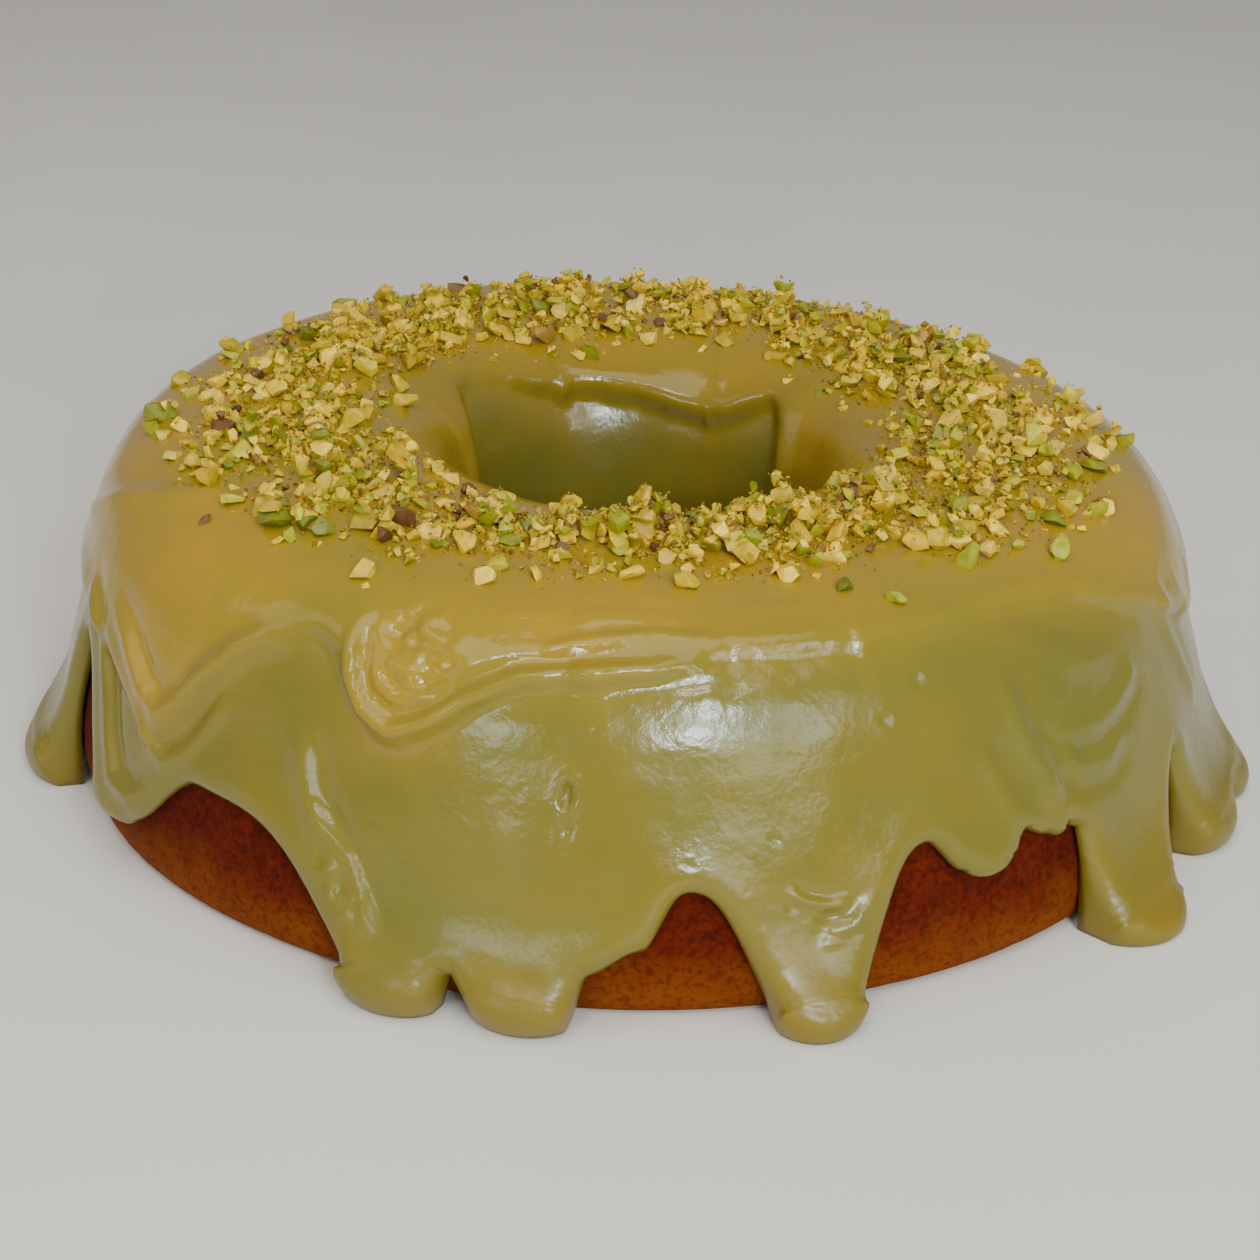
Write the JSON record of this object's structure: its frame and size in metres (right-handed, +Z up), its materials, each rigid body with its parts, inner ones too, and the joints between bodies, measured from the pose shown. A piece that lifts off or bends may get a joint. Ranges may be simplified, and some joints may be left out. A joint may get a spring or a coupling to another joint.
{
  "type": "pistachio ring cake",
  "caption": "Round sponge cake with a centre hole, covered in a poured pistachio glaze that drips to small feet, with chopped nuts on top.",
  "frame": {"origin": "on the resting plane, under the middle of the outline", "axes": "+Z up through the hole, -Y the side that faces the camera in the picture, +X to its right"},
  "size_m": [0.2632, 0.2608, 0.081],
  "materials": {
    "cake": "baked brown crust, fine pores",
    "glaze": "smooth glossy poured icing with rough nuts on top"
  },
  "bodies": {
    "root": {"cake": "cake", "glaze": "glaze"}
  },
  "joints": []
}
